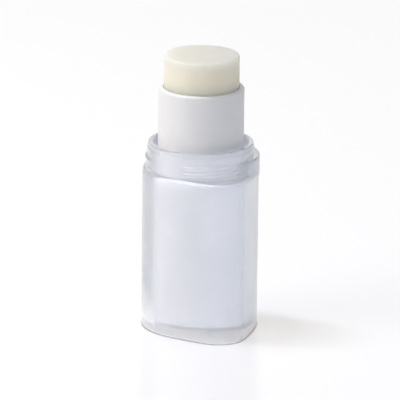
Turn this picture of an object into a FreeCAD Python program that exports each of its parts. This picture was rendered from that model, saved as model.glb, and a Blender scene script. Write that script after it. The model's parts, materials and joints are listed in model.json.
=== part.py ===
"""Twist-up sunscreen stick: a frosted oval body, a white sleeve and the balm it winds up.

Millimetres, +Z up. The origin is the middle of the flat base, on the axis of the screw neck.
The oval's long axis lies along Y and the tall index lug faces +X.
The screw cap is lost and isn't modelled. The balm stands wound partly out of its sleeve.
"""
import FreeCAD, Part
import math
import os

# ---------------------------------------------------------------- balm
stick_radius = 12.0
stick_proud = 10.4            # how far the balm stands above the sleeve's rim as stored
stick_top_round = 0.6
stick_sunk = 1.1              # how far its top lies below the rim when it is wound right down

# ---------------------------------------------------------------- white sleeve
stick_gap = 0.15              # air between the balm and the sleeve
sleeve_wall = 1.5
sleeve_exposed = 18.0         # height of sleeve above the neck
sleeve_rim_round = 0.8
keyway_width = 3.0
keyway_depth = 0.6
keyway_stop = 2.5             # the keyways end this far below the rim

# ---------------------------------------------------------------- frosted oval body
neck_gap = 1.55               # air between the sleeve and the neck
half_width = 18.5             # radius of the oval's narrow sides
half_length = 24.7
tip_radius = 9.0              # radius of its two soft ends
face_radius = 80.0            # the nearly flat faces between sides and ends
body_height = 52.5
shoulder_round = 1.4
base_round = 0.8
floor_thickness = 2.2

# ---------------------------------------------------------------- screw neck
neck_wall = 1.8
neck_height = 8.0
lip_step = 0.3                # the sealing lip is this much smaller in radius than the neck
lip_height = 1.6
lip_round = 0.35
thread_pitch = 2.2
thread_depth = 0.65
thread_root_width = 1.3
thread_crest_width = 0.5
thread_start = 222.0          # degrees round from +X, just inside the slot
thread_turns = 1.17
thread_rise = 1.29            # from the shoulder to the middle of the thread's lower end
thread_gap_at = 204.5         # the upright slot that breaks the thread
thread_gap_width = 40.0
lug_proud = 0.25              # the index lug stands out from the oval's narrow side
lug_half_angle = 68.5
lug_below_rim = 3.8
lug_drop = 2.1                # how far the lug runs down below the shoulder
lug_round = 0.6

# ---------------------------------------------------------------- turning fit at the sleeve's foot
running_clearance = 0.07
free_clearance = 0.35         # everywhere else where two moving pieces face each other
foot_gap = 1.5                # under the sleeve's base insert
collar_height = 45.0          # the thick lower part of the sleeve, which turns in the bore
base_flange = 0.7
base_plate = 1.8
base_skirt = 1.75
base_height = 7.6             # the plug part of the sleeve's base insert, above its flange

# ---------------------------------------------------------------- spindle
lead = 6.0                    # rise of the balm for one turn of the sleeve
spindle_root = 3.0
spindle_crest = 4.2
ridge_root_width = 2.6
ridge_crest_width = 1.8
collar_radius = 8.0
collar_thickness = 1.9
socket_flats = 7.0            # hexagonal foot, pressed into the body's floor
socket_wall = 2.4
spindle_tip = 1.0

# ---------------------------------------------------------------- carrier
full_travel = 46.0
carrier_wall = 1.0
carrier_plate = 1.5
carrier_skirt = 8.0           # below the plate
cup_depth = 3.0               # above the plate
nut_wall = 2.0
nut_lug_width = 1.6
nut_lug_height = 2.2
nut_lug_rise = 1.9            # from the carrier's lower edge to the middle of its lower lug

# ---------------------------------------------------------------- sizes that follow
sleeve_bore = stick_radius + stick_gap
sleeve_radius = sleeve_bore + sleeve_wall
bore_radius = sleeve_radius + neck_gap
collar_outside = bore_radius - running_clearance
tip_offset = half_length - tip_radius      # from the axis to the centre of each soft end
neck_radius = bore_radius + neck_wall
lip_radius = neck_radius - lip_step
lug_radius = half_width + lug_proud
neck_top = body_height + neck_height
sleeve_top = neck_top + sleeve_exposed
stick_top = sleeve_top + stick_proud
sleeve_foot = floor_thickness + foot_gap + base_flange
collar_top = sleeve_foot + collar_height
plate_top = sleeve_foot + base_height
plate_bottom = plate_top - base_plate
spindle_collar_top = plate_bottom - free_clearance
spindle_collar_bottom = spindle_collar_top - collar_thickness
carrier_low = plate_top + free_clearance
rest_rise = stick_proud + stick_sunk
carrier_foot = carrier_low + rest_rise
carrier_floor = carrier_foot + carrier_skirt + carrier_plate
carrier_top = carrier_floor + cup_depth
carrier_radius = sleeve_bore - free_clearance
nut_bore = spindle_crest + free_clearance
nut_lug_z = carrier_foot + nut_lug_rise
thread_low = plate_top + ridge_root_width / 2
spindle_top = carrier_low + carrier_skirt + full_travel + spindle_tip


def cylinder(radius, z_low, z_high):
    return Part.makeCylinder(radius, z_high - z_low, FreeCAD.Vector(0, 0, z_low))


def tube(outer, inner, z_low, z_high):
    return cylinder(outer, z_low, z_high).cut(cylinder(inner, z_low, z_high))


def block(x_low, x_high, width, z_low, z_high):
    corner = FreeCAD.Vector(x_low, -width / 2, z_low)
    return Part.makeBox(x_high - x_low, width, z_high - z_low, corner)


def half_turn(shape):
    other = shape.copy()
    other.rotate(FreeCAD.Vector(0, 0, 0), FreeCAD.Vector(0, 0, 1), 180)
    return other


def level_edges(shape, z):
    return [e for e in shape.Edges if abs(e.BoundBox.ZMin - z) < 1e-4 and abs(e.BoundBox.ZMax - z) < 1e-4]


def outer_edge(shape, z):
    return [max(level_edges(shape, z), key=lambda e: e.BoundBox.XLength)]


def polar(centre_x, centre_y, radius, degrees, z):
    angle = math.radians(degrees)
    return FreeCAD.Vector(centre_x + radius * math.cos(angle), centre_y + radius * math.sin(angle), z)


def arc(centre_x, centre_y, radius, start, end):
    points = [polar(centre_x, centre_y, radius, a, 0) for a in (start, (start + end) / 2, end)]
    return Part.Arc(*points).toShape()


def oval_face():
    """The body's outline: two sides about the axis, two soft ends, four nearly flat faces."""
    to_side = face_radius - half_width
    to_end = face_radius - tip_radius
    centre_y = (to_side ** 2 - to_end ** 2 + tip_offset ** 2) / (2 * tip_offset)
    centre_x = math.sqrt(to_side ** 2 - centre_y ** 2)
    side_turn = math.degrees(math.atan2(-centre_y, centre_x))
    end_turn = math.degrees(math.atan2(tip_offset - centre_y, centre_x))
    edges = [
        arc(0, 0, half_width, -side_turn, side_turn),
        arc(-centre_x, centre_y, face_radius, side_turn, end_turn),
        arc(0, tip_offset, tip_radius, end_turn, 180 - end_turn),
        arc(centre_x, centre_y, face_radius, 180 - end_turn, 180 - side_turn),
    ]
    edges += [half_turn(e) for e in edges]
    return Part.Face(Part.Wire(Part.__sortEdges__(edges)))


def helix_ridge(radius, depth, root_width, crest_width, pitch, turns, z, start_degrees):
    """A screw ridge that stands out of a shaft, and is sunk a little way into it."""
    sunk = 0.2
    slope = (root_width - crest_width) / (2 * depth)
    half_sunk = root_width / 2 + slope * sunk
    spine = Part.Wire(Part.makeHelix(pitch, pitch * turns, radius))
    corners = [
        FreeCAD.Vector(radius - sunk, 0, -half_sunk),
        FreeCAD.Vector(radius + depth, 0, -crest_width / 2),
        FreeCAD.Vector(radius + depth, 0, crest_width / 2),
        FreeCAD.Vector(radius - sunk, 0, half_sunk),
    ]
    section = Part.makePolygon(corners + corners[:1])
    ridge = spine.makePipeShell([section], True, True)
    ridge.rotate(FreeCAD.Vector(0, 0, 0), FreeCAD.Vector(0, 0, 1), start_degrees)
    ridge.translate(FreeCAD.Vector(0, 0, z))
    return ridge


def sector(outer, inner, z_low, z_high, from_degrees, sweep):
    ring = Part.makeCylinder(outer, z_high - z_low, FreeCAD.Vector(0, 0, z_low),
                             FreeCAD.Vector(0, 0, 1), sweep)
    ring.rotate(FreeCAD.Vector(0, 0, 0), FreeCAD.Vector(0, 0, 1), from_degrees)
    return ring.cut(cylinder(inner, z_low, z_high))


def make_neck():
    """Screw neck with a smaller sealing lip, a broken thread and the tall index lug."""
    neck = cylinder(neck_radius, floor_thickness, neck_top - lip_height)
    lip = cylinder(lip_radius, floor_thickness, neck_top)
    lip = lip.makeFillet(lip_round, outer_edge(lip, neck_top))
    thread = helix_ridge(neck_radius, thread_depth, thread_root_width, thread_crest_width,
                         thread_pitch, thread_turns, body_height + thread_rise, thread_start)
    slot = sector(neck_radius + 2 * thread_depth, neck_radius, body_height, neck_top,
                  thread_gap_at - thread_gap_width / 2, thread_gap_width)
    lug_top = neck_top - lug_below_rim
    lug_foot = body_height - lug_drop
    lug = sector(lug_radius, bore_radius, lug_foot, lug_top, -lug_half_angle, 2 * lug_half_angle)
    lug = lug.makeFillet(lug_round, outer_edge(lug, lug_top))
    return neck.fuse([lip, thread.cut(slot), lug])


def make_body_shell():
    """The one-piece moulding: oval outside, round bore, spindle socket in the floor."""
    oval = oval_face().extrude(FreeCAD.Vector(0, 0, body_height))
    oval = oval.makeFillet(shoulder_round, level_edges(oval, body_height))
    oval = oval.makeFillet(base_round, level_edges(oval, 0))
    bore = cylinder(bore_radius, floor_thickness, neck_top)
    shell = oval.fuse(make_neck()).cut(bore)
    socket_radius = socket_flats / math.sqrt(3) + socket_wall
    boss = cylinder(socket_radius, floor_thickness, spindle_collar_bottom)
    shell = shell.fuse(boss).cut(hexagon(floor_thickness, spindle_collar_bottom))
    return shell.removeSplitter()


def hexagon(z_low, z_high):
    corner = socket_flats / math.sqrt(3)
    points = [polar(0, 0, corner, 60 * i, z_low) for i in range(7)]
    return Part.Face(Part.makePolygon(points)).extrude(FreeCAD.Vector(0, 0, z_high - z_low))


def make_sleeve():
    """The white tube: a thick collar that turns in the bore, and two keyways for the carrier."""
    outside = cylinder(sleeve_radius, sleeve_foot, sleeve_top)
    outside = outside.makeFillet(sleeve_rim_round, outer_edge(outside, sleeve_top))
    collar = cylinder(collar_outside, sleeve_foot, collar_top)
    hollow = cylinder(sleeve_bore, sleeve_foot, sleeve_top)
    keyway = block(sleeve_bore - keyway_depth, sleeve_bore + keyway_depth, keyway_width,
                   sleeve_foot, sleeve_top - keyway_stop)
    return outside.fuse(collar).cut([hollow, keyway, half_turn(keyway)])


def make_sleeve_base():
    """Insert that closes the sleeve's foot and holds the spindle's collar under its plate."""
    flange = cylinder(collar_outside, sleeve_foot - base_flange, sleeve_foot)
    plug = cylinder(sleeve_bore, sleeve_foot, plate_top)
    hollow = cylinder(sleeve_bore - base_skirt, sleeve_foot - base_flange, plate_bottom)
    hole = cylinder(nut_bore, plate_bottom, plate_top)
    return flange.fuse(plug).cut([hollow, hole]).removeSplitter()


def make_spindle():
    """Screw rod: hexagonal foot, collar, plain neck, coarse single thread."""
    foot = hexagon(floor_thickness, spindle_collar_bottom)
    collar = cylinder(collar_radius, spindle_collar_bottom, spindle_collar_top)
    neck = cylinder(spindle_crest, spindle_collar_top, plate_top)
    rod = cylinder(spindle_root, spindle_collar_top, spindle_top)
    rod = rod.makeChamfer(spindle_tip, outer_edge(rod, spindle_top))
    turns_below = math.floor((nut_lug_z - thread_low) / lead - 0.5)
    ridge_z = nut_lug_z - (turns_below + 0.5) * lead
    ridge_turns = (spindle_top - 2 * spindle_tip - ridge_root_width / 2 - ridge_z) / lead
    ridge = helix_ridge(spindle_root, spindle_crest - spindle_root, ridge_root_width,
                        ridge_crest_width, lead, ridge_turns, ridge_z, 0)
    return foot.fuse([collar, neck, rod, ridge]).removeSplitter()


def make_carrier():
    """The platform under the balm: keyed to the sleeve, with two nut lugs in the spindle's thread."""
    plate_under = carrier_floor - carrier_plate
    inner = carrier_radius - carrier_wall
    cup = cylinder(inner, carrier_floor, carrier_top)
    under = cylinder(inner, carrier_foot, plate_under)
    nut = tube(nut_bore + nut_wall, nut_bore, carrier_foot, plate_under)
    hole = cylinder(nut_bore, plate_under, carrier_floor)
    key_reach = sleeve_bore + keyway_depth - free_clearance
    key = block(inner, key_reach, keyway_width - 2 * free_clearance, carrier_foot, plate_under)
    lug_in = spindle_root + free_clearance
    lug_out = nut_bore + nut_wall / 2
    low = nut_lug_z - nut_lug_height / 2
    lug = block(lug_in, lug_out, nut_lug_width, low, low + nut_lug_height)
    far_lug = half_turn(lug)
    far_lug.translate(FreeCAD.Vector(0, 0, lead / 2))
    shell = cylinder(carrier_radius, carrier_foot, carrier_top).cut([cup, under, hole])
    return shell.fuse([nut, key, half_turn(key), lug, far_lug]).removeSplitter()


def make_balm_stick():
    """The balm, cast on the carrier, with the blind hole that the spindle leaves in it."""
    root = cylinder(carrier_radius - carrier_wall, carrier_floor, carrier_top)
    balm = cylinder(stick_radius, carrier_top, stick_top)
    balm = balm.makeFillet(stick_top_round, outer_edge(balm, stick_top))
    hole = cylinder(nut_bore, carrier_floor, spindle_top + rest_rise + free_clearance)
    return balm.fuse(root).cut(hole)


def main():
    pieces = {
        "body_shell": make_body_shell(),
        "sleeve": make_sleeve(),
        "sleeve_base": make_sleeve_base(),
        "spindle": make_spindle(),
        "carrier": make_carrier(),
        "balm_stick": make_balm_stick(),
    }
    os.makedirs("parts", exist_ok=True)
    for name, shape in pieces.items():
        shape.exportStep("parts/" + name + ".step")
        print(name, "solids", len(shape.Solids), "valid", shape.isValid(), "cm3", round(shape.Volume / 1000, 3))
    print("height", round(stick_top, 2), "wound down", round(-rest_rise, 2), "up", round(full_travel - rest_rise, 2))


main()
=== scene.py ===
# %% [markdown]
# # A twist-up sunscreen stick
# The object is a thick frosted body with a screw neck, a white sleeve that turns in it, and a
# round stick of balm that the sleeve winds up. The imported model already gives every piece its
# true size and place. This file dresses it: it makes the three pieces that show as smooth
# meshes, gives every piece its material, and sets up the floor, the light and the camera.

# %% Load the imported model
import json
import math

import bpy
import numpy as np
from mathutils import Matrix, Vector

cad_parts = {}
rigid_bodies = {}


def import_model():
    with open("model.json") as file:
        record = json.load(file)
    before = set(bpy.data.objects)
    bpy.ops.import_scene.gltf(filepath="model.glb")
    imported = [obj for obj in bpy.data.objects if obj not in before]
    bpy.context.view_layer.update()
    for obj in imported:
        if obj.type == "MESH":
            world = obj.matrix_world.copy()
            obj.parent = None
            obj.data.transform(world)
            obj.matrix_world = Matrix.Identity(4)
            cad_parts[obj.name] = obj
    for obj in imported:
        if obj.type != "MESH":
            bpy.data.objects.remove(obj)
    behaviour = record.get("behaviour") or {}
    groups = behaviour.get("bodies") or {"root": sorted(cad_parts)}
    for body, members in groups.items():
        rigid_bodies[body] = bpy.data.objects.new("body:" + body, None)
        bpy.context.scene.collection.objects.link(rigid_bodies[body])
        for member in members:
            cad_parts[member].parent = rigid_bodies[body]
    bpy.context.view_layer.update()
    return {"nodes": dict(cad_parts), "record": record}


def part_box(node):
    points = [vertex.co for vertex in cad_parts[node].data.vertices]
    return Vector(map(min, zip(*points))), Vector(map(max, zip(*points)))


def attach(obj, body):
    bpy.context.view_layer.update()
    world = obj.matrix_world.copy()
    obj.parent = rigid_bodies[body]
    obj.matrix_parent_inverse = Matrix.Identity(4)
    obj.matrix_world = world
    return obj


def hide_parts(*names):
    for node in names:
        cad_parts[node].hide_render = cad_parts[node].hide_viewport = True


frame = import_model()
print("nodes:", sorted(frame["nodes"]))

# %% [markdown]
# ## Units
# Blender works in metres here, and a pack like this is thought of in millimetres. So every size
# below is in millimetres, and a mesh is brought to metres once, when it is made. Where a piece
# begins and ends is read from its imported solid, so that the two stay alike.

# %% Millimetres
MM = 0.001


def box_mm(node):
    """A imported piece's lowest and highest corner, in millimetres."""
    low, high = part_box(node)
    return np.array(low) / MM, np.array(high) / MM


print("the body is", round(float(box_mm("body_shell")[1][2]), 1), "mm tall, up to the neck's rim")

# %% [markdown]
# ## The body's oval
# Looked at from above, the body is an oval: two narrow sides that are part of one circle about
# the neck's axis, two soft ends, and nearly flat faces between them. Each is an arc that runs
# into the next with no corner, so the outline can be worked out at any angle about the axis.
# An edge that is rounded over is the same outline drawn a little further in, and that is simple
# too: every arc keeps its centre and loses the same amount of radius.

# %% The oval, at every column's angle
COLUMNS = 480
AROUND = np.linspace(0, 2 * math.pi, COLUMNS, endpoint=False)
HALF_WIDTH = 18.5
HALF_LENGTH = 24.7
TIP_RADIUS = 9.0
FACE_RADIUS = 80.0

TIP_OFFSET = HALF_LENGTH - TIP_RADIUS
TO_SIDE = FACE_RADIUS - HALF_WIDTH
TO_END = FACE_RADIUS - TIP_RADIUS
FACE_Y = (TO_SIDE ** 2 - TO_END ** 2 + TIP_OFFSET ** 2) / (2 * TIP_OFFSET)
FACE_X = -math.sqrt(TO_SIDE ** 2 - FACE_Y ** 2)
SIDE_ENDS = math.atan2(-FACE_Y, -FACE_X)
TIP_TURN = math.atan2(TIP_OFFSET - FACE_Y, -FACE_X)
FOLDED = np.abs(np.arctan2(np.sin(AROUND), np.cos(AROUND)))
FOLDED = np.minimum(FOLDED, math.pi - FOLDED)


def reach_of_circle(x, y, radius):
    """How far out each column's ray leaves a circle."""
    along = x * np.cos(FOLDED) + y * np.sin(FOLDED)
    return along + np.sqrt(np.maximum(along ** 2 - x ** 2 - y ** 2 + radius ** 2, 0))


def oval(inset=0.0):
    """The outline's distance from the axis at every column, drawn in by inset."""
    tip = TIP_RADIUS - inset
    tip_starts = math.atan2(TIP_OFFSET + tip * math.sin(TIP_TURN), tip * math.cos(TIP_TURN))
    faces = reach_of_circle(FACE_X, FACE_Y, FACE_RADIUS - inset)
    ends = reach_of_circle(0, TIP_OFFSET, tip)
    sides = np.full(COLUMNS, HALF_WIDTH - inset)
    return np.where(FOLDED < SIDE_ENDS, sides, np.where(FOLDED < tip_starts, faces, ends))


print("oval:", round(2 * oval().max(), 2), "by", round(2 * oval().min(), 2), "mm")

# %% [markdown]
# ## The neck and its lug
# The round neck rises from the shoulder. One side of it carries a tall lug, a little prouder than
# the oval's narrow side, which stops the cap in line with the body. A moulded lug has no sharp
# end: it blends into the neck over a few millimetres. So it is added as a bulge in the reach of
# each row of points, and not as a block of its own.

# %% Neck and lug
NECK = next(m for m in frame["record"]["mounts"] if m["name"] == "neck_finish")["dims"]
NECK_TOP = float(box_mm("body_shell")[1][2])
SHOULDER = NECK_TOP - NECK["length_mm"]
NECK_RADIUS = 17.0
BORE_RADIUS = 15.2
LIP_RADIUS = 16.7
LIP_HEIGHT = 1.6
LIP_ROUND = 0.35
BORE_ROUND = 0.2
SHOULDER_ROUND = 1.4
BASE_ROUND = 0.8
LUG_RADIUS = box_mm("body_shell")[1][0]
LUG_FOOT = SHOULDER - 2.1
LUG_TOP = NECK_TOP - 3.8
LUG_ROUND = 0.6
LUG_HALF_ANGLE = math.radians(66.0)
LUG_BLEND = math.radians(14)
FOOT_BLEND = 0.15


def smooth(x):
    """A step from 0 to 1 with soft ends."""
    x = np.clip(x, 0, 1)
    return x * x * (3 - 2 * x)


def with_lug(reach, height):
    """The same reach, with the lug standing out of it where the lug is."""
    if height > LUG_TOP:
        return reach
    over = max(0.0, height - (LUG_TOP - LUG_ROUND))
    lug = LUG_RADIUS - LUG_ROUND + math.sqrt(max(LUG_ROUND ** 2 - over ** 2, 0))
    from_middle = np.abs(np.arctan2(np.sin(AROUND), np.cos(AROUND)))
    here = smooth((LUG_HALF_ANGLE - from_middle) / LUG_BLEND + 0.5)
    grown = smooth((height - LUG_FOOT) / FOOT_BLEND + 0.5)
    return reach + np.maximum(lug - reach, 0) * here * grown


print("shoulder at", round(SHOULDER, 2), "mm, lug from", round(LUG_FOOT, 2), "to", round(LUG_TOP, 2))

# %% [markdown]
# ## One skin for the whole moulding
# The body is one moulding, so it is one closed mesh. It is drawn as a stack of rings that starts
# at the middle of the base, runs out and up the outside, over the neck's rim, down the bore, and
# ends in the hexagonal socket in the floor. Every ring has the same columns, so the faces between
# two rings are clean quads, and the rounding of an edge is a few rings close together.
# Joining separate solids would give the same outline, but its edges would be knife-sharp, and
# light would not catch on them.

# %% The outside's rings
THREAD_STEP = 0.1
SHOULDER_CLIMB = 0.09


def arc_steps(count):
    """Angles from 0 to a quarter turn, for rounding an edge over."""
    return np.linspace(0, math.pi / 2, count)


def rounded_over(radius, angle):
    """How far a rounded edge has drawn in from its two faces, at one angle of the rounding."""
    return radius * (1 - math.cos(angle)), radius * (1 - math.sin(angle))


def outside_rings():
    """Base, wall, shoulder, neck and lip, from the middle of the base up to the rim."""
    rings = [(oval(BASE_ROUND) * share, 0.0) for share in (0.25, 0.5, 0.75, 0.92)]
    for angle in arc_steps(7):
        up, inward = rounded_over(BASE_ROUND, angle)
        rings.append((oval(inward), up))
    for height in np.linspace(BASE_ROUND, LUG_FOOT - FOOT_BLEND, 18)[1:]:
        rings.append((oval(), height))
    for height in np.linspace(LUG_FOOT - FOOT_BLEND / 2, LUG_FOOT + FOOT_BLEND / 2, 5):
        rings.append((with_lug(oval(), height), height))
    for angle in arc_steps(9):
        inward, down = rounded_over(SHOULDER_ROUND, angle)
        rings.append((with_lug(oval(inward), SHOULDER - down), SHOULDER - down))
    return rings + shoulder_rings() + neck_rings() + lip_rings()


def shoulder_rings():
    """The flat shoulder. Where the lug covers it, its rings climb the lug in tiny steps instead."""
    foot = with_lug(np.full(COLUMNS, NECK_RADIUS), SHOULDER)
    edge = np.maximum(oval(SHOULDER_ROUND), foot)
    covered = np.clip(1 - (edge - foot) / 0.1, 0, 1)
    climb = SHOULDER_CLIMB * covered
    return [(edge + (foot - edge) * share, SHOULDER + climb * share) for share in (0.3, 0.7, 1.0)]


def neck_rings():
    """The neck's wall, in steps fine enough for the screw thread, and the lug's rounded top."""
    neck = np.full(COLUMNS, NECK_RADIUS)
    lug_bends = LUG_TOP - LUG_ROUND
    heights = list(np.arange(SHOULDER + 0.15, lug_bends, THREAD_STEP))
    heights += [lug_bends + LUG_ROUND * math.sin(angle) for angle in arc_steps(9)]
    heights += list(np.arange(LUG_TOP + 0.03, NECK_TOP - LIP_HEIGHT - 0.05, THREAD_STEP))
    return [(with_lug(neck, height), height) for height in heights]


def lip_rings():
    """The ledge under the sealing lip, the lip, and the rim over to the bore."""
    ledge = NECK_TOP - LIP_HEIGHT
    rings = [(NECK_RADIUS, ledge - 0.03), (NECK_RADIUS - 0.03, ledge), (LIP_RADIUS + 0.05, ledge + 0.02)]
    rings += [(LIP_RADIUS, ledge + 0.07), (LIP_RADIUS, NECK_TOP - 2 * LIP_ROUND)]
    for angle in arc_steps(7):
        inward, down = rounded_over(LIP_ROUND, angle)
        rings.append((LIP_RADIUS - inward, NECK_TOP - down))
    for angle in arc_steps(5):
        down, outward = rounded_over(BORE_ROUND, angle)
        rings.append((BORE_RADIUS + outward, NECK_TOP - down))
    return rings


print("outside:", len(outside_rings()), "rings")

# %% [markdown]
# ## Inside the body
# A core pin forms the bore when the body is moulded, so the bore is round and straight. At its
# foot a low boss holds the spindle in a hexagonal socket, and a hexagon can't turn in its seat.

# %% The inside's rings
BORE_FLOOR = box_mm("spindle")[0][2]
SOCKET_FLATS = 7.0
SOCKET_WALL = 2.4
SOCKET_TOP = 7.95
PRESS_GAP = 0.02


def inside_rings():
    """The bore, the floor, and the boss with the spindle's hexagonal socket."""
    sixth = math.pi / 3
    half_flats = SOCKET_FLATS / 2 + PRESS_GAP
    hexagon = half_flats / np.cos(AROUND % sixth - sixth / 2)
    boss = SOCKET_FLATS / math.sqrt(3) + SOCKET_WALL
    rings = [(BORE_RADIUS, height) for height in np.linspace(NECK_TOP - 2 * BORE_ROUND, BORE_FLOOR, 15)]
    rings += [(0.7 * BORE_RADIUS, BORE_FLOOR), (boss, BORE_FLOOR)]
    rings += [(boss, SOCKET_TOP), (hexagon, SOCKET_TOP), (hexagon, BORE_FLOOR), (0.4 * hexagon, BORE_FLOOR)]
    return rings


print("inside:", len(inside_rings()), "rings")

# %% [markdown]
# ## From rings to a skin
# Every point of a ring is joined to its neighbour and to the same column of the next ring. The
# first and the last ring close in fans on a point on the axis, so the skin has no hole.

# %% The body's skin
def skin(name, rings):
    """A closed mesh through a stack of rings, with a point on the axis at each end."""
    points = [(0.0, 0.0, rings[0][1])]
    for reach, height in rings:
        reach = np.broadcast_to(reach, COLUMNS)
        height = np.broadcast_to(height, COLUMNS)
        points += zip(reach * np.cos(AROUND), reach * np.sin(AROUND), height)
    points.append((0.0, 0.0, rings[-1][1]))
    ahead = [(j + 1) % COLUMNS for j in range(COLUMNS)]
    last = len(points) - 1
    top = last - COLUMNS
    faces = [(0, 1 + ahead[j], 1 + j) for j in range(COLUMNS)]
    faces += [(last, top + j, top + ahead[j]) for j in range(COLUMNS)]
    for i in range(len(rings) - 1):
        row = 1 + i * COLUMNS
        up = row + COLUMNS
        faces += [(row + j, row + ahead[j], up + ahead[j], up + j) for j in range(COLUMNS)]
    mesh = bpy.data.meshes.new(name)
    mesh.from_pydata([tuple(MM * c for c in p) for p in points], [], faces)
    return mesh


def place(name, mesh):
    """Puts a mesh into the scene as a piece that sits at the origin."""
    piece = bpy.data.objects.new(name, mesh)
    bpy.context.scene.collection.objects.link(piece)
    return piece


body = place("body_moulding", skin("body_moulding", outside_rings() + inside_rings()))
print("body:", len(body.data.vertices), "points,", len(body.data.polygons), "faces")

# %% [markdown]
# ## Geometry Nodes helpers
# A Geometry Nodes tree is a recipe with named sizes. The tree is built here in the script, its
# sizes are set on the modifier by each socket's identifier, and the result is then read back as a
# plain mesh, so that no live modifier is left on the piece. One small function adds every node in
# this file, with its settings and its links.

# %% Adding a node
def add(tree, kind, values=None, **settings):
    """Adds a node, sets its properties, and fills or links its inputs by name or number.

    A node given as a value stands for its first output.
    """
    node = tree.nodes.new(kind)
    for name, value in settings.items():
        setattr(node, name, value)
    for name, value in (values or {}).items():
        if isinstance(value, bpy.types.Node):
            value = value.outputs[0]
        if isinstance(value, bpy.types.NodeSocket):
            tree.links.new(value, node.inputs[name])
        else:
            node.inputs[name].default_value = value
    return node


# %% Building a recipe and using it
KINDS = {float: "NodeSocketFloat", int: "NodeSocketInt"}


def new_recipe(name, sizes):
    """A Geometry Nodes tree with a geometry going in and out, a material, and named sizes."""
    tree = bpy.data.node_groups.new(name, "GeometryNodeTree")
    tree.interface.new_socket("Geometry", in_out="OUTPUT", socket_type="NodeSocketGeometry")
    tree.interface.new_socket("Geometry", in_out="INPUT", socket_type="NodeSocketGeometry")
    tree.interface.new_socket("Material", in_out="INPUT", socket_type="NodeSocketMaterial")
    for size, value in sizes.items():
        tree.interface.new_socket(size, in_out="INPUT", socket_type=KINDS[type(value)])
    return tree, add(tree, "NodeGroupInput").outputs


def serve(tree, given, geometry):
    """Ends a recipe: real geometry, with its material."""
    real = add(tree, "GeometryNodeRealizeInstances", {"Geometry": geometry})
    painted = add(tree, "GeometryNodeSetMaterial", {"Geometry": real, "Material": given["Material"]})
    add(tree, "NodeGroupOutput", {0: painted})


def cook(piece, tree, material, sizes):
    """Runs a recipe on a piece and keeps the result as the piece's own plain mesh."""
    modifier = piece.modifiers.new(tree.name, "NODES")
    modifier.node_group = tree
    sockets = {s.name: s.identifier for s in tree.interface.items_tree if s.in_out == "INPUT"}
    modifier[sockets["Material"]] = material
    for size, value in sizes.items():
        modifier[sockets[size]] = value
    evaluated = piece.evaluated_get(bpy.context.evaluated_depsgraph_get())
    mesh = bpy.data.meshes.new_from_object(evaluated)
    piece.modifiers.clear()
    raw, piece.data = piece.data, mesh
    bpy.data.meshes.remove(raw)
    mesh.name = piece.name
    finish_normals(mesh)
    print(piece.name + ":", len(mesh.vertices), "points,", len(mesh.polygons), "faces")


SHARP = math.radians(38)


def finish_normals(mesh):
    """Faces point outwards, rounded edges are smooth, and true corners stay crisp."""
    mesh.calc_loop_triangles()
    corners = [[mesh.vertices[v].co for v in t.vertices] for t in mesh.loop_triangles]
    if sum(a.dot(b.cross(c)) for a, b, c in corners) < 0:
        mesh.flip_normals()
    mesh.shade_smooth()
    mesh.set_sharp_from_angle(angle=SHARP)


# %% [markdown]
# ## Finishes
# Each material starts from what the real one is and how its surface was made. A mould gives a
# plastic its surface: the body's mould was spark-eroded, so the body is matt, and the sleeve's
# was brushed and polished, so the sleeve has a satin sheen. The balm is cast, and stays waxy.
# No surface is all one colour or quite smooth. So three helpers give patches, a colour in two
# close tones, and fine grain, each with its real size in millimetres. Colours are written as the
# hex values that a painter would pick, and one function turns them to linear light.

# %% Material helpers
def linear(hex_colour):
    """An sRGB hex colour as linear RGBA."""
    channels = [int(hex_colour[i:i + 2], 16) / 255 for i in (1, 3, 5)]
    return tuple(c / 12.92 if c <= 0.04045 else ((c + 0.055) / 1.055) ** 2.4 for c in channels) + (1.0,)


def new_material(name):
    """An empty material and its tree, and the piece's own place in millimetres."""
    material = bpy.data.materials.new(name)
    material.use_nodes = True
    tree = material.node_tree
    tree.nodes.clear()
    here = add(tree, "ShaderNodeTexCoord").outputs["Object"]
    scaled = add(tree, "ShaderNodeVectorMath", {0: here, 1: (1 / MM,) * 3}, operation="MULTIPLY")
    return material, tree, scaled


def patches(tree, where, size_mm, detail=2.0, low=0.0, high=1.0):
    """Soft patches about size_mm wide, from low to high. A noise mostly lies in its middle half."""
    noise = add(tree, "ShaderNodeTexNoise", {"Vector": where, "Scale": 1 / size_mm, "Detail": detail})
    return add(tree, "ShaderNodeMapRange", {
        "Value": noise, "From Min": 0.25, "From Max": 0.75, "To Min": low, "To Max": high})


def two_tones(tree, where, size_mm, first, second, detail=2.0):
    """One colour in patches of another that is close to it."""
    mix = add(tree, "ShaderNodeMix", {
        "Factor": patches(tree, where, size_mm, detail), "A": linear(first), "B": linear(second)},
        data_type="RGBA")
    return mix.outputs["Result"]


def grain(tree, where, size_mm, depth_mm, detail=2.0):
    """The fine relief that a mould leaves, with grains size_mm wide and depth_mm deep."""
    noise = add(tree, "ShaderNodeTexNoise", {"Vector": where, "Scale": 1 / size_mm, "Detail": detail})
    return add(tree, "ShaderNodeBump", {"Height": noise, "Distance": depth_mm * MM, "Strength": 1.0})


print("the middle grey #808080 is", round(linear("#808080")[0], 3), "in linear light")

# %% [markdown]
# ## Frosted polypropylene
# Natural polypropylene with no pigment is milky: it lets light in, scatters it, and shows what
# lies behind it only as a soft shape. A glass-like surface with a rough finish gives the soft
# shapes, and scattering under the surface gives the milk. Lamps have to reach the sleeve through
# the wall too, so for light's own rays the wall is mostly clear. Spark erosion leaves grains of
# less than a tenth of a millimetre. They are drawn 0.35 mm wide here, so that they show at all.

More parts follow.
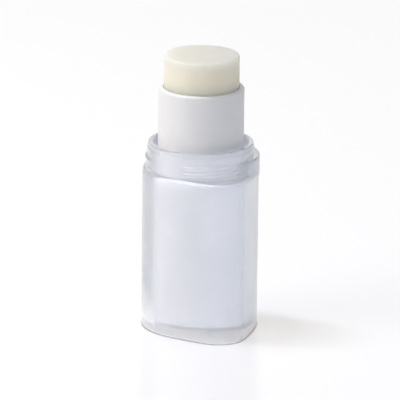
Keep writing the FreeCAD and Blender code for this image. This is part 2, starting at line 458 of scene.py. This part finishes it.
# %% Frosted polypropylene
def frosted_polypropylene():
    """Moulded against a spark-eroded tool: a fine even matt, and a faint cloudiness in depth."""
    material, tree, where = new_material("frosted_polypropylene")
    shell = add(tree, "ShaderNodeBsdfPrincipled", {
        "Base Color": two_tones(tree, where, 9.0, "#f3f5f9", "#f9fafc"),
        "Roughness": 0.07, "IOR": 1.49, "Transmission Weight": 0.79,
        "Subsurface Weight": 0.2, "Subsurface Scale": 0.004, "Subsurface Radius": (1.0, 1.0, 1.0),
        "Normal": grain(tree, where, 0.35, 0.004, 3.0)})
    clear = add(tree, "ShaderNodeBsdfTransparent", {"Color": linear("#f4f4f8")})
    rays = add(tree, "ShaderNodeLightPath").outputs
    through = add(tree, "ShaderNodeMath", {0: rays["Is Shadow Ray"], 1: 0.9}, operation="MULTIPLY")
    wall = add(tree, "ShaderNodeMixShader", {0: through, 1: shell, 2: clear})
    add(tree, "ShaderNodeOutputMaterial", {"Surface": wall})
    return material


frosted = frosted_polypropylene()
print("made", frosted.name)

# %% [markdown]
# ## White polypropylene
# The sleeve's plastic holds a white pigment, so hardly any light gets through. Its mould was
# polished along its length, and that leaves a satin sheen with the faintest upright streaks. Real
# ones are hair-thin, so they too are drawn coarser, about half a millimetre wide.

# %% White polypropylene
def white_polypropylene():
    """Moulded and pigmented white: satin, with the faintest upright streaks of the flow."""
    material, tree, where = new_material("white_polypropylene")
    drawn = add(tree, "ShaderNodeVectorMath", {0: where, 1: (1.0, 1.0, 0.06)}, operation="MULTIPLY")
    shell = add(tree, "ShaderNodeBsdfPrincipled", {
        "Base Color": two_tones(tree, where, 6.0, "#e9e9eb", "#edecee"),
        "Roughness": patches(tree, drawn, 0.8, 3.0, 0.34, 0.42), "IOR": 1.49,
        "Subsurface Weight": 0.3, "Subsurface Scale": 0.0008, "Subsurface Radius": (1.0, 1.0, 1.0),
        "Normal": grain(tree, drawn, 0.5, 0.003)})
    add(tree, "ShaderNodeOutputMaterial", {"Surface": shell})
    return material


white = white_polypropylene()
print("made", white.name)

# %% [markdown]
# ## The balm
# Wax and oils, melted and cast. Light goes well into it before it comes out again, so its shadow
# side stays pale, and its edges glow a little. Scattering under the surface gives that, with red
# light reaching furthest. Towards the sleeve its colour is painted a shade lighter and warmer: painted
# light, a glow that lifts the shade next to the sleeve's rim.

# %% The balm
PAINTED_GLOW_FROM = 87.0
PAINTED_GLOW_BELOW = 79.0


def cast_balm():
    """Wax and oils, cast warm: cream, slightly see-through, with a bloom and tiny pits."""
    material, tree, where = new_material("balm")
    height = add(tree, "ShaderNodeSeparateXYZ", {0: where}).outputs["Z"]
    # Painted light: lower down, towards the sleeve, the cream is painted lighter and warmer.
    painted_glow = add(tree, "ShaderNodeMapRange", {
        "Value": height, "From Min": PAINTED_GLOW_FROM, "From Max": PAINTED_GLOW_BELOW})
    cream = add(tree, "ShaderNodeMix", {
        "Factor": painted_glow, "A": two_tones(tree, where, 3.5, "#dedbcf", "#e3e0d5", 4.0),
        "B": linear("#fff0da")}, data_type="RGBA").outputs["Result"]
    pits = add(tree, "ShaderNodeTexVoronoi", {"Vector": where, "Scale": 1 / 0.9})
    dips = add(tree, "ShaderNodeMapRange", {"Value": pits, "From Min": 0.0, "From Max": 0.18})
    waves = add(tree, "ShaderNodeTexNoise", {"Vector": where, "Scale": 1 / 1.4, "Detail": 4.0})
    uneven = add(tree, "ShaderNodeMath", {0: dips, 1: waves}, operation="ADD")
    shell = add(tree, "ShaderNodeBsdfPrincipled", {
        "Base Color": cream, "Roughness": patches(tree, where, 2.0, 4.0, 0.4, 0.52), "IOR": 1.44,
        "Subsurface Weight": 1.0, "Subsurface Scale": 0.015, "Subsurface Radius": (1.0, 0.9, 0.7),
        "Normal": add(tree, "ShaderNodeBump", {"Height": uneven, "Distance": 0.02 * MM, "Strength": 1.0})})
    add(tree, "ShaderNodeOutputMaterial", {"Surface": shell})
    return material


balm = cast_balm()
print("made", balm.name)

# %% [markdown]
# ## Acetal
# Screw parts that rub are often moulded in acetal, which is hard and slippery. Left without
# pigment it is a dense, waxy white. These parts show only when the pack is taken apart.

# %% Acetal
def natural_acetal():
    """Moulded, unpigmented: dense, milky white and slightly waxy, as screw parts are."""
    material, tree, where = new_material("natural_acetal")
    shell = add(tree, "ShaderNodeBsdfPrincipled", {
        "Base Color": two_tones(tree, where, 4.0, "#e6e7e2", "#ecede8"), "Roughness": 0.4, "IOR": 1.48,
        "Subsurface Weight": 0.5, "Subsurface Scale": 0.0015, "Subsurface Radius": (1.0, 1.0, 0.9),
        "Normal": grain(tree, where, 0.4, 0.003)})
    add(tree, "ShaderNodeOutputMaterial", {"Surface": shell})
    return material


acetal = natural_acetal()
print("made", acetal.name)

# %% [markdown]
# ## The screw thread
# The cap's thread is one low ridge that climbs round the neck and is broken by an upright slot,
# where the mould's halves and the vent meet. The neck's mesh is a fine grid already, so a recipe
# lifts it by rule: each point asks how far it lies from the climbing line, and moves outward.

# %% The screw thread
THREAD = {
    "Neck Radius": NECK_RADIUS * MM, "Depth": (NECK["r_mm"] - NECK_RADIUS) * MM,
    "Lower End": (SHOULDER + 1.29) * MM, "Pitch": 2.2 * MM, "Turns": 1.17, "Start": math.radians(222),
    "Root Width": 1.3 * MM, "Crest Width": 0.5 * MM, "Run In": math.radians(12),
    "Slot At": math.radians(204.5), "Slot Width": math.radians(40),
}


def off_the_thread(tree, given, angle, height):
    """How many turns along the thread its nearest pass is, and how far off its line a point lies."""
    past_start = add(tree, "ShaderNodeMath", {0: angle, 1: given["Start"]}, operation="SUBTRACT")
    within_turn = add(tree, "ShaderNodeMath", {0: past_start, 1: math.tau}, operation="FLOORED_MODULO")
    share = add(tree, "ShaderNodeMath", {0: within_turn, 1: math.tau}, operation="DIVIDE")
    pitches_up = add(tree, "ShaderNodeMath", {0: height, 1: given["Pitch"]}, operation="DIVIDE")
    turns_up = add(tree, "ShaderNodeMath", {0: pitches_up, 1: share}, operation="SUBTRACT")
    nearest = add(tree, "ShaderNodeMath", {0: turns_up}, operation="ROUND")
    at_least_first = add(tree, "ShaderNodeMath", {0: nearest, 1: 0.0}, operation="MAXIMUM")
    which_pass = add(tree, "ShaderNodeMath", {0: at_least_first, 1: 1.0}, operation="MINIMUM")
    along = add(tree, "ShaderNodeMath", {0: share, 1: which_pass}, operation="ADD")
    line = add(tree, "ShaderNodeMath", {0: along, 1: given["Pitch"]}, operation="MULTIPLY")
    above_line = add(tree, "ShaderNodeMath", {0: height, 1: line}, operation="SUBTRACT")
    return along, add(tree, "ShaderNodeMath", {0: above_line}, operation="ABSOLUTE")


print("thread:", THREAD["Turns"], "turns at a pitch of", round(THREAD["Pitch"] / MM, 2), "mm")

# %% [markdown]
# ## The thread's ridge
# The ridge is full on its crest and nothing past its root. It runs in softly at both ends, and
# the upright slot breaks it. Each is a soft step from 0 to 1, and multiplied they give the shape.

# %% The thread's ridge
def ridge_of(tree, given, angle, along, off_line):
    """How far the ridge stands out of the neck at a point."""
    half_root = add(tree, "ShaderNodeMath", {0: given["Root Width"], 1: 2.0}, operation="DIVIDE")
    half_crest = add(tree, "ShaderNodeMath", {0: given["Crest Width"], 1: 2.0}, operation="DIVIDE")
    flank = add(tree, "ShaderNodeMapRange", {
        "Value": off_line, "From Min": half_root, "From Max": half_crest}, interpolation_type="SMOOTHSTEP")

    to_go = add(tree, "ShaderNodeMath", {0: given["Turns"], 1: along}, operation="SUBTRACT")
    from_ends = add(tree, "ShaderNodeMath", {0: along, 1: to_go}, operation="MINIMUM")
    end_angle = add(tree, "ShaderNodeMath", {0: from_ends, 1: math.tau}, operation="MULTIPLY")
    ends = add(tree, "ShaderNodeMapRange", {
        "Value": end_angle, "From Min": 0.0, "From Max": given["Run In"]}, interpolation_type="SMOOTHSTEP")

    past_slot = add(tree, "ShaderNodeMath", {0: angle, 1: given["Slot At"]}, operation="SUBTRACT")
    wrapped = add(tree, "ShaderNodeMath", {0: past_slot, 1: math.pi, 2: -math.pi}, operation="WRAP")
    from_slot = add(tree, "ShaderNodeMath", {0: wrapped}, operation="ABSOLUTE")
    half_slot = add(tree, "ShaderNodeMath", {0: given["Slot Width"], 1: 2.0}, operation="DIVIDE")
    slot_ends = add(tree, "ShaderNodeMath", {0: half_slot, 1: given["Run In"]}, operation="ADD")
    slot = add(tree, "ShaderNodeMapRange", {
        "Value": from_slot, "From Min": half_slot, "From Max": slot_ends}, interpolation_type="SMOOTHSTEP")

    shape = add(tree, "ShaderNodeMath", {0: flank, 1: ends}, operation="MULTIPLY")
    deep = add(tree, "ShaderNodeMath", {0: slot, 1: given["Depth"]}, operation="MULTIPLY")
    return add(tree, "ShaderNodeMath", {0: shape, 1: deep}, operation="MULTIPLY")


print("ridge:", round(THREAD["Depth"] / MM, 2), "mm high")

# %% [markdown]
# ## Raising the thread
# Only the neck's outer wall is lifted, and only up to the ridge, so the bore, the lip and the lug
# stay as they are.

# %% Raising the thread
def raise_thread():
    """A recipe that pushes the neck's wall outwards to the thread's ridge."""
    tree, given = new_recipe("raise_thread", THREAD)
    position = add(tree, "GeometryNodeInputPosition")
    x, y, z = add(tree, "ShaderNodeSeparateXYZ", {0: position}).outputs
    level = add(tree, "ShaderNodeCombineXYZ", {0: x, 1: y})
    reach = add(tree, "ShaderNodeVectorMath", {0: level}, operation="LENGTH").outputs["Value"]
    angle = add(tree, "ShaderNodeMath", {0: y, 1: x}, operation="ARCTAN2")
    height = add(tree, "ShaderNodeMath", {0: z, 1: given["Lower End"]}, operation="SUBTRACT")
    along, off_line = off_the_thread(tree, given, angle, height)
    ridge = ridge_of(tree, given, angle, along, off_line)

    ridge_reach = add(tree, "ShaderNodeMath", {0: ridge, 1: given["Neck Radius"]}, operation="ADD")
    missing = add(tree, "ShaderNodeMath", {0: ridge_reach, 1: reach}, operation="SUBTRACT")
    lift = add(tree, "ShaderNodeMath", {0: missing, 1: 0.0}, operation="MAXIMUM")
    outer = (NECK_RADIUS - 0.1) * MM
    outer_wall = add(tree, "ShaderNodeMath", {0: reach, 1: outer}, operation="GREATER_THAN")
    on_ridge = add(tree, "ShaderNodeMath", {0: ridge, 1: 1e-7}, operation="GREATER_THAN")
    lifted_here = add(tree, "ShaderNodeMath", {0: outer_wall, 1: on_ridge}, operation="MULTIPLY")
    amount = add(tree, "ShaderNodeMath", {0: lift, 1: lifted_here}, operation="MULTIPLY")

    outward = add(tree, "ShaderNodeVectorMath", {0: level}, operation="NORMALIZE")
    push = add(tree, "ShaderNodeVectorMath", {0: outward, "Scale": amount}, operation="SCALE")
    raised = add(tree, "GeometryNodeSetPosition", {"Geometry": given["Geometry"], "Offset": push})
    serve(tree, given, raised)
    return tree


cook(body, raise_thread(), frosted, THREAD)

# %% [markdown]
# ## Turned pieces
# The sleeve and the balm have the same section all the way round, as if turned on a lathe. Half
# of the section is drawn as a line of a few points, and each point carries the rounding of its
# corner. The recipe rounds the corners, sweeps the line round the axis, and closes the seam.

# %% A lathe
LATHE = {"Facets": 256, "Corner Steps": 8, "Sweep Radius": 0.1}


def lathe_recipe():
    """Rounds a profile's corners and turns it about the axis. X is the reach and Y the height."""
    tree, given = new_recipe("lathe", LATHE)
    rounding = add(tree, "GeometryNodeInputNamedAttribute", {"Name": "rounding"}, data_type="FLOAT")
    line = add(tree, "GeometryNodeMeshToCurve", {"Mesh": given["Geometry"]})
    soft = add(tree, "GeometryNodeFilletCurve", {
        "Curve": line, "Count": given["Corner Steps"], "Radius": rounding, "Limit Radius": True},
        mode="POLY")
    back = add(tree, "ShaderNodeMath", {0: given["Sweep Radius"], 1: -1.0}, operation="MULTIPLY")
    shift = add(tree, "ShaderNodeCombineXYZ", {0: back})
    set_off = add(tree, "GeometryNodeTransform", {
        "Geometry": soft, "Translation": shift, "Scale": (1.0, -1.0, 1.0)})
    circle = add(tree, "GeometryNodeCurvePrimitiveCircle", {
        "Resolution": given["Facets"], "Radius": given["Sweep Radius"]})
    level = add(tree, "GeometryNodeSetCurveNormal", {"Curve": circle}, mode="Z_UP")
    turned = add(tree, "GeometryNodeCurveToMesh", {"Curve": level, "Profile Curve": set_off})
    closed = add(tree, "GeometryNodeMergeByDistance", {"Geometry": turned, "Distance": 1e-6})
    serve(tree, given, closed)
    return tree


def profile(name, points, closed):
    """A half section as a line of points, each with its reach, its height and its rounding."""
    mesh = bpy.data.meshes.new(name)
    count = len(points)
    edges = [(i, (i + 1) % count) for i in range(count if closed else count - 1)]
    mesh.from_pydata([(reach * MM, height * MM, 0) for reach, height, _ in points], edges, [])
    rounding = mesh.attributes.new("rounding", "FLOAT", "POINT")
    rounding.data.foreach_set("value", [r * MM for _, _, r in points])
    return place(name, mesh)


lathe = lathe_recipe()
print("lathe:", len(lathe.nodes), "nodes")

# %% [markdown]
# ## The sleeve
# The white sleeve is one tube with two thicknesses: a thick collar that turns in the body's bore,
# and the thinner neck that stands out of it round the balm. Its rim is rounded over, and that is
# what catches the light. Two keyways run up its bore and keep the balm's carrier from turning.
# They are cut by one bar that reaches across the bore, as a broach would cut them.

# %% Sleeve
SLEEVE_FOOT = box_mm("sleeve")[0][2]
SLEEVE_TOP = box_mm("sleeve")[1][2]
SLEEVE_RADIUS = 13.65
SLEEVE_BORE = 12.15
COLLAR_RADIUS = BORE_RADIUS - 0.07
COLLAR_TOP = SLEEVE_FOOT + 45.0
COLLAR_ROUND = 0.1
RIM_ROUND = 0.8
INNER_RIM_ROUND = 0.15

SLEEVE_SECTION = [
    (SLEEVE_BORE, SLEEVE_FOOT, 0), (COLLAR_RADIUS, SLEEVE_FOOT, COLLAR_ROUND),
    (COLLAR_RADIUS, COLLAR_TOP, COLLAR_ROUND), (SLEEVE_RADIUS, COLLAR_TOP, 0),
    (SLEEVE_RADIUS, SLEEVE_TOP, RIM_ROUND), (SLEEVE_BORE, SLEEVE_TOP, INNER_RIM_ROUND),
]
KEYWAY = {
    "Bore": SLEEVE_BORE * MM, "Depth": 0.6 * MM, "Width": 3.0 * MM,
    "Foot": float(SLEEVE_FOOT) * MM, "Top": float(SLEEVE_TOP - 2.5) * MM,
}


def cut_keyways():
    """A recipe that cuts both keyways with one bar, open at the foot and closed at the top."""
    tree, given = new_recipe("cut_keyways", KEYWAY)

    below = add(tree, "ShaderNodeMath", {0: given["Foot"], 1: given["Width"]}, operation="SUBTRACT")
    half = add(tree, "ShaderNodeMath", {0: given["Bore"], 1: given["Depth"]}, operation="ADD")
    across = add(tree, "ShaderNodeMath", {0: half, 1: 2.0}, operation="MULTIPLY")
    tall = add(tree, "ShaderNodeMath", {0: given["Top"], 1: below}, operation="SUBTRACT")
    both_ends = add(tree, "ShaderNodeMath", {0: given["Top"], 1: below}, operation="ADD")
    half_way = add(tree, "ShaderNodeMath", {0: both_ends, 1: 0.5}, operation="MULTIPLY")
    size = add(tree, "ShaderNodeCombineXYZ", {0: across, 1: given["Width"], 2: tall})
    middle = add(tree, "ShaderNodeCombineXYZ", {2: half_way})
    bar = add(tree, "GeometryNodeMeshCube", {"Size": size})
    placed = add(tree, "GeometryNodeTransform", {"Geometry": bar, "Translation": middle})
    cut = add(tree, "GeometryNodeMeshBoolean", {"Mesh 1": given["Geometry"], "Mesh 2": placed},
              operation="DIFFERENCE", solver="EXACT")
    serve(tree, given, cut)
    return tree


sleeve = profile("sleeve_turned", SLEEVE_SECTION, closed=True)
cook(sleeve, lathe, white, LATHE)
cook(sleeve, cut_keyways(), white, KEYWAY)

# %% [markdown]
# ## The balm
# The balm is cast in its carrier. Its top is flat and its edge is softly rounded, and as wax
# cools it draws in a little unevenly, so its skin isn't quite true. Inside is the blind hole that
# the screw spindle leaves.

# %% Balm
BALM_TOP = box_mm("balm_stick")[1][2]
BALM_FOOT = box_mm("balm_stick")[0][2]
BALM_RADIUS = 12.0
CUP_TOP = box_mm("carrier")[1][2]
CUP_RADIUS = 10.8
HOLE_RADIUS = 4.55
ABOVE_SPINDLE = 11.85
HOLE_TOP = box_mm("spindle")[1][2] + ABOVE_SPINDLE
BALM_ROUND = 0.6

BALM_SECTION = [
    (0, BALM_TOP, 0), (BALM_RADIUS, BALM_TOP, BALM_ROUND), (BALM_RADIUS, CUP_TOP, 0),
    (CUP_RADIUS, CUP_TOP, 0), (CUP_RADIUS, BALM_FOOT, 0), (HOLE_RADIUS, BALM_FOOT, 0),
    (HOLE_RADIUS, HOLE_TOP, 0), (0, HOLE_TOP, 0),
]
stick = profile("balm_cast", BALM_SECTION, closed=False)
cook(stick, lathe, balm, LATHE)

# %% [markdown]
# ## Everything in its place
# Each new piece rides on the body it belongs to and stands in for its plain node, which is hidden.
# The three pieces inside keep their own meshes and get a material.

# %% Riding, replacing and painting
for piece, rides_on, node, slot in (
    (body, "body", "body_shell", "frosted_polypropylene"),
    (sleeve, "turning_sleeve", "sleeve", "white_polypropylene"),
    (stick, "stick", "balm_stick", "balm"),
):
    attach(piece, rides_on)
    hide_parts(node)

for node, finish in (("spindle", acetal), ("carrier", acetal), ("sleeve_base", white)):
    for material_slot in frame["nodes"][node].material_slots:
        material_slot.material = finish

print("the sleeve turns, the balm rises, and the body stays")

# %% [markdown]
# ## The table
# The object stands on a pale, slightly glossy studio table that runs on into white. One large
# square does it, with its edges out of sight.

# %% The table
FLOOR_HALF = 3.0
floor_mesh = bpy.data.meshes.new("floor")
square = ((-1, -1), (1, -1), (1, 1), (-1, 1))
floor_mesh.from_pydata([(x * FLOOR_HALF, y * FLOOR_HALF, 0) for x, y in square], [], [(0, 1, 2, 3)])
floor = place("floor", floor_mesh)
print("table:", 2 * FLOOR_HALF, "m wide")

# %% [markdown]
# ## Looking and lighting
# A white background and an evenly lit object ask for different things: as much white as possible
# behind the object, and little light from all round on it, or it loses its shading. The Light
# Path node tells apart a ray that looks from a ray that lights, so each can get its own white.

# %% What is looked at
def looked_at(tree, mirrored, seen_through, let_in):
    """1 for what is looked at, a share of it in mirrors and through plastic, and 0 for lighting rays.

    Rays that light a piece through plastic get let_in, since a milky wall carries light about inside.
    """
    rays = add(tree, "ShaderNodeLightPath").outputs
    lighting = add(tree, "ShaderNodeMath", {0: rays["Diffuse Depth"], 1: 1.0}, operation="MINIMUM")
    more = add(tree, "ShaderNodeMath", {0: let_in, 1: seen_through}, operation="SUBTRACT")
    clear = add(tree, "ShaderNodeMath", {0: lighting, 1: more, 2: seen_through}, operation="MULTIPLY_ADD")
    mirror = add(tree, "ShaderNodeMath", {0: rays["Is Glossy Ray"], 1: mirrored}, operation="MULTIPLY")
    beyond_mirror = add(tree, "ShaderNodeMath", {0: clear, 1: mirrored}, operation="SUBTRACT")
    plastic = add(tree, "ShaderNodeMath", {
        0: rays["Is Transmission Ray"], 1: beyond_mirror, 2: mirror}, operation="MULTIPLY_ADD")
    return add(tree, "ShaderNodeMath", {0: rays["Is Camera Ray"], 1: plastic}, operation="MAXIMUM")


# %% [markdown]
# ## The table's own light
# Over half of the table's white comes from the same light as the object's. A warm share is added
# for what the camera sees, so that the table meets the backdrop and its shadow stays light and a
# little warm. Another share is seen only through the plastic: the clear foot gathers light off
# the table close to the pack. The shader works in metres, so these distances are in metres.

# %% The table's own light
FLOOR_GLOW = 0.38
GLOW_MIRRORED = 0.4
GLOW_LET_IN = 0.08
CAUGHT_GLOW = 0.34
CAUGHT_WITHIN = 0.022
CAUGHT_ENDS = 0.034
GAP_SHARE = 0.5


def light_caught(tree, rays, from_axis):
    """Light that the clear foot gathers off the table, less of it through the gap between two floors."""
    caught = add(tree, "ShaderNodeMapRange", {
        "Value": from_axis, "From Min": CAUGHT_WITHIN, "From Max": CAUGHT_ENDS,
        "To Min": CAUGHT_GLOW, "To Max": 0.0})
    through_gap = add(tree, "ShaderNodeMapRange", {
        "Value": rays["Transmission Depth"], "From Min": 2.5, "From Max": 3.5,
        "To Min": 1.0, "To Max": GAP_SHARE})
    lessened = add(tree, "ShaderNodeMath", {0: caught, 1: through_gap}, operation="MULTIPLY")
    return add(tree, "ShaderNodeMath", {0: lessened, 1: rays["Is Transmission Ray"]}, operation="MULTIPLY")


def light_added(tree):
    """What whitens the table for whoever looks at it. Mirrors and plastic show a share of it."""
    looked = looked_at(tree, GLOW_MIRRORED, 0.0, GLOW_LET_IN)
    return add(tree, "ShaderNodeMath", {0: looked, 1: FLOOR_GLOW}, operation="MULTIPLY")


print("own light:", FLOOR_GLOW, "of white for the camera, up to", CAUGHT_GLOW, "through the foot")

# %% [markdown]
# ## The table's paint
# Painted board under a thin varnish is nearly matt, with a weak, blurred reflection. Where the
# pack stands on it, a thin dark line of painted shade marks the crevice under the foot's rounded
# edge, for the camera only: an Ambient Occlusion node finds it, and the table's own light is held
# back there too. Seen through the plastic, the board further off is dimmer, in a darker painted colour.

# %% The table's paint
DIM_FROM = 0.05
CONTACT_SHADE_REACH = 1.5
CONTACT_SHADE_STARTS = 0.7
CONTACT_SHADE_FULL = 0.3


def studio_floor():
    """Painted board under a thin varnish: nearly matt white with a weak, blurred reflection."""
    material = bpy.data.materials.new("studio_floor")
    material.use_nodes = True
    tree = material.node_tree
    tree.nodes.clear()
    where = add(tree, "ShaderNodeTexCoord").outputs["Object"]
    from_axis = add(tree, "ShaderNodeVectorMath", {0: where}, operation="LENGTH").outputs["Value"]
    rays = add(tree, "ShaderNodeLightPath").outputs

    # Painted shade: a dark line on the board where the pack meets it, seen by the camera only.
    crevice_occlusion = add(tree, "ShaderNodeAmbientOcclusion", {"Distance": CONTACT_SHADE_REACH * MM}).outputs["AO"]
    contact_shade_amount = add(tree, "ShaderNodeMapRange", {"Value": crevice_occlusion, "From Min": CONTACT_SHADE_STARTS, "From Max": CONTACT_SHADE_FULL})
    painted_contact_shade = add(tree, "ShaderNodeMath", {0: contact_shade_amount, 1: rays["Is Camera Ray"]}, operation="MULTIPLY")
    plain = add(tree, "ShaderNodeMix", {
        "Factor": rays["Is Camera Ray"], "A": linear("#f6f6f4"), "B": linear("#c8cfd8")},
        data_type="RGBA").outputs["Result"]
    paint = add(tree, "ShaderNodeMix", {"Factor": painted_contact_shade, "A": plain, "B": linear("#77746e")},
                data_type="RGBA").outputs["Result"]
    varnished = add(tree, "ShaderNodeBsdfPrincipled", {"Base Color": paint, "Roughness": 0.2})

    # Painted shade: seen through the plastic, the board away from the pack takes a darker, bluer colour.
    dim_board = add(tree, "ShaderNodeBsdfDiffuse", {"Color": linear("#a8aeba")})
    looking = add(tree, "ShaderNodeMapRange", {
        "Value": rays["Diffuse Depth"], "From Min": 0.2, "From Max": 0.8, "To Min": 1.0, "To Max": 0.0})
    seen_through = add(tree, "ShaderNodeMath", {0: rays["Is Transmission Ray"], 1: looking},
                       operation="MULTIPLY")
    far = add(tree, "ShaderNodeMapRange", {
        "Value": from_axis, "From Min": CAUGHT_ENDS, "From Max": DIM_FROM})
    dimmed = add(tree, "ShaderNodeMath", {0: far, 1: seen_through}, operation="MULTIPLY")
    board = add(tree, "ShaderNodeMixShader", {0: dimmed, 1: varnished, 2: dim_board})

    glow = add(tree, "ShaderNodeMath", {0: light_caught(tree, rays, from_axis), 1: light_added(tree)},
               operation="ADD")
    # The table's own light is held back in the painted contact shade as well.
    outside_contact_shade = add(tree, "ShaderNodeMath", {0: 1.0, 1: painted_contact_shade}, operation="SUBTRACT")
    strength = add(tree, "ShaderNodeMath", {0: glow, 1: outside_contact_shade}, operation="MULTIPLY")
    tint = add(tree, "ShaderNodeMix", {
        "Factor": rays["Is Transmission Ray"], "A": linear("#fff3e6"), "B": linear("#eef0fb")},
        data_type="RGBA").outputs["Result"]
    light = add(tree, "ShaderNodeEmission", {"Color": tint, "Strength": strength})
    both = add(tree, "ShaderNodeAddShader", {0: board, 1: light})
    add(tree, "ShaderNodeOutputMaterial", {"Surface": both})
    return material


floor_mesh.materials.append(studio_floor())
print("made", floor_mesh.materials[0].name)

# %% [markdown]
# ## Backdrop
# Everything round the table is plain white. What the camera sees is full white, and so is the part
# behind the pack that the table mirrors. What lights the object is dimmer, so that the object keeps
# its shading. Light that reaches the sleeve through the wall is stronger on the lug's side, where
# the wall is thick and gathers it.

# %% Backdrop
AMBIENT = 0.42
LET_IN_LEFT = 1.0
LET_IN_RIGHT = 4.0
TO_THE_LUG = (0.924, -0.383, 0.0)
UP_BEHIND = (0.367, 0.885, 0.287)
MIRRORED = 0.5
SEEN_THROUGH = 0.5

world = bpy.data.worlds.new("white_studio")
bpy.context.scene.world = world
world.use_nodes = True
studio = world.node_tree
studio.nodes.clear()
direction = add(studio, "ShaderNodeTexCoord").outputs["Generated"]
lug_side = add(studio, "ShaderNodeVectorMath", {0: direction, 1: TO_THE_LUG}, operation="DOT_PRODUCT")
let_in = add(studio, "ShaderNodeMapRange", {
    "Value": lug_side.outputs["Value"], "From Min": -1.0, "To Min": LET_IN_LEFT, "To Max": LET_IN_RIGHT})
behind = add(studio, "ShaderNodeVectorMath", {0: direction, 1: UP_BEHIND}, operation="DOT_PRODUCT")
mirrored = add(studio, "ShaderNodeMapRange", {
    "Value": behind.outputs["Value"], "From Min": 0.93, "From Max": 0.97, "To Min": MIRRORED})
seen = looked_at(studio, mirrored, SEEN_THROUGH, let_in)
brightness = add(studio, "ShaderNodeMath", {0: seen, 1: 1 - AMBIENT, 2: AMBIENT}, operation="MULTIPLY_ADD")
sky = add(studio, "ShaderNodeBackground", {"Color": linear("#ffffff"), "Strength": brightness})
add(studio, "ShaderNodeOutputWorld", {"Surface": sky})
print("made", world.name)

# %% [markdown]
# ## Camera
# A long lens from far away, a little above the pack: upright edges stay nearly parallel, as in a
# product shot. It looks at the narrow end of the oval, with the tall lug to the right.

# %% Camera
CAMERA_AZIMUTH = -22.5
CAMERA_ELEVATION = 16.65
CAMERA_DISTANCE = 1784.0
CAMERA_LENS = 504.7
CAMERA_ROLL = 0.61
AIM_HEIGHT = 40.9
AIM_SIDE = -0.09


def looking_at(azimuth, elevation, distance, aim):
    """A place and a turn, in mm and degrees, that look at aim. Azimuth 0 looks along +Y."""
    around = Matrix.Rotation(math.radians(azimuth), 3, "Z")
    turn = around @ Matrix.Rotation(math.radians(90 - elevation), 3, "X")
    return Matrix.Translation((aim + turn @ Vector((0, 0, distance))) * MM) @ turn.to_4x4()


sideways = Matrix.Rotation(math.radians(CAMERA_AZIMUTH), 3, "Z") @ Vector((AIM_SIDE, 0, 0))
aim = Vector((0, 0, AIM_HEIGHT)) + sideways
camera_data = bpy.data.cameras.new("camera")
camera_data.lens = CAMERA_LENS
camera_data.clip_end = 20
camera = bpy.data.objects.new("camera", camera_data)
bpy.context.scene.collection.objects.link(camera)
roll = Matrix.Rotation(math.radians(CAMERA_ROLL), 4, "Z")
camera.matrix_world = looking_at(CAMERA_AZIMUTH, CAMERA_ELEVATION, CAMERA_DISTANCE, aim) @ roll
bpy.context.scene.camera = camera
print("camera:", CAMERA_DISTANCE, "mm away, with a lens of", CAMERA_LENS, "mm")

# %% [markdown]
# ## Lights
# A large warm softbox at the left shades the round pieces evenly. A narrow strip, high at the left,
# brightens the rims and throws the shadow to the right. A weak, cool lamp at the right fills
# the shadow side. None of them shows through the plastic as a bright square.

# %% Lights
def softbox(name, azimuth, elevation, distance, width, height, watts, colour):
    """A flat lamp aimed at the object. Azimuth is counted from the camera's, left is negative."""
    lamp = bpy.data.lights.new(name, "AREA")
    lamp.shape = "RECTANGLE"
    lamp.size = width * MM
    lamp.size_y = height * MM
    lamp.energy = watts
    lamp.color = linear(colour)[:3]
    lamp_object = bpy.data.objects.new(name, lamp)
    bpy.context.scene.collection.objects.link(lamp_object)
    lamp_object.visible_transmission = False
    middle = Vector((0, 0, AIM_HEIGHT))
    lamp_object.matrix_world = looking_at(CAMERA_AZIMUTH + azimuth, elevation, distance, middle)


softbox("key", -70, 28, 1000, 700, 500, 4.2, "#fffaf4")
softbox("strip", -109, 71, 1000, 40, 260, 3.8, "#f6f8ff")
softbox("fill", 30, 12, 1400, 500, 500, 1.7, "#b4c8f0")
print("lamps:", *(lamp.name for lamp in bpy.data.lights))

# %% [markdown]
# ## Output
# The picture's colours are left as they are.

# %% Output
bpy.context.scene.view_settings.view_transform = "Standard"
